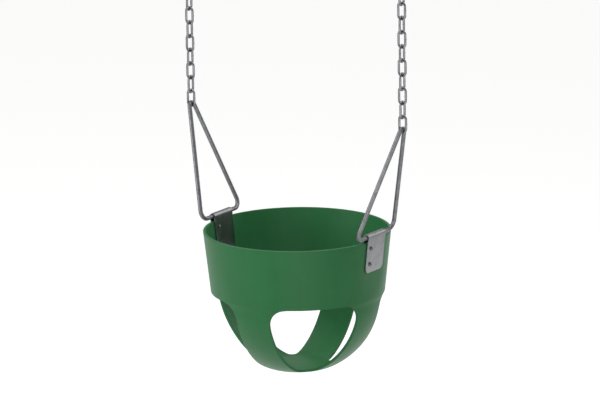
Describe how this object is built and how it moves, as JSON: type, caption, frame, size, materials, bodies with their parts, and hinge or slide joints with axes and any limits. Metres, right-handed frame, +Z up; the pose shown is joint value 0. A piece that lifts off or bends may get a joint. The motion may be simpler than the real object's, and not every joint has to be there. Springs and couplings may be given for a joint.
{
  "type": "toddler bucket swing",
  "caption": "Green moulded toddler bucket swing with leg holes, hung by two bent-rod triangle hangers in riveted steel plates from two welded-link chains.",
  "frame": {"origin": "midpoint of the swing axis, the line through the bottom wires of the two quick links", "axes": "+X to the right hanger, -Y to the front, +Z up"},
  "size_m": [0.4898, 0.345, 0.7604],
  "materials": {
    "shell": "moulded, satin",
    "plate": "bare galvanised sheet",
    "rod": "galvanised rod",
    "chain": "galvanised wire",
    "rivet": "set steel",
    "fitting": "zinc plated"
  },
  "bodies": {
    "support": {"quick_link_left": "fitting", "quick_link_right": "fitting", "quick_link_nut_left": "fitting", "quick_link_nut_right": "fitting"},
    "seat": {"bucket_shell": "shell", "hanger_plate_left": "plate", "rivet_left_upper": "rivet", "rivet_left_lower": "rivet", "hanger_triangle_left": "rod", "hanger_plate_right": "plate", "rivet_right_upper": "rivet", "rivet_right_lower": "rivet", "hanger_triangle_right": "rod"},
    "chain_upper": {"chain_left_link_10": "chain", "chain_left_link_09": "chain", "chain_left_link_08": "chain", "chain_left_link_07": "chain", "chain_right_link_10": "chain", "chain_right_link_09": "chain", "chain_right_link_08": "chain", "chain_right_link_07": "chain"},
    "chain_middle": {"chain_left_link_06": "chain", "chain_left_link_05": "chain", "chain_left_link_04": "chain", "chain_right_link_06": "chain", "chain_right_link_05": "chain", "chain_right_link_04": "chain"},
    "chain_lower": {"chain_left_link_03": "chain", "chain_left_link_02": "chain", "chain_left_link_01": "chain", "chain_right_link_03": "chain", "chain_right_link_02": "chain", "chain_right_link_01": "chain"}
  },
  "joints": [
    {"name": "swing", "type": "hinge", "parent": "support", "child": "chain_upper", "pos_m": [0, 0, 0], "axis": [1, 0, 0], "range_deg": [-50, 50]},
    {"name": "chain_bend_upper", "type": "hinge", "parent": "chain_upper", "child": "chain_middle", "pos_m": [0, 0, -0.1024], "axis": [1, 0, 0], "range_deg": [-40, 40]},
    {"name": "chain_bend_lower", "type": "hinge", "parent": "chain_middle", "child": "chain_lower", "pos_m": [0, 0, -0.1751], "axis": [1, 0, 0], "range_deg": [-40, 40]},
    {"name": "seat_tip", "type": "hinge", "parent": "chain_lower", "child": "seat", "pos_m": [0, 0, -0.2572], "axis": [1, 0, 0], "range_deg": [-15, 15]}
  ]
}
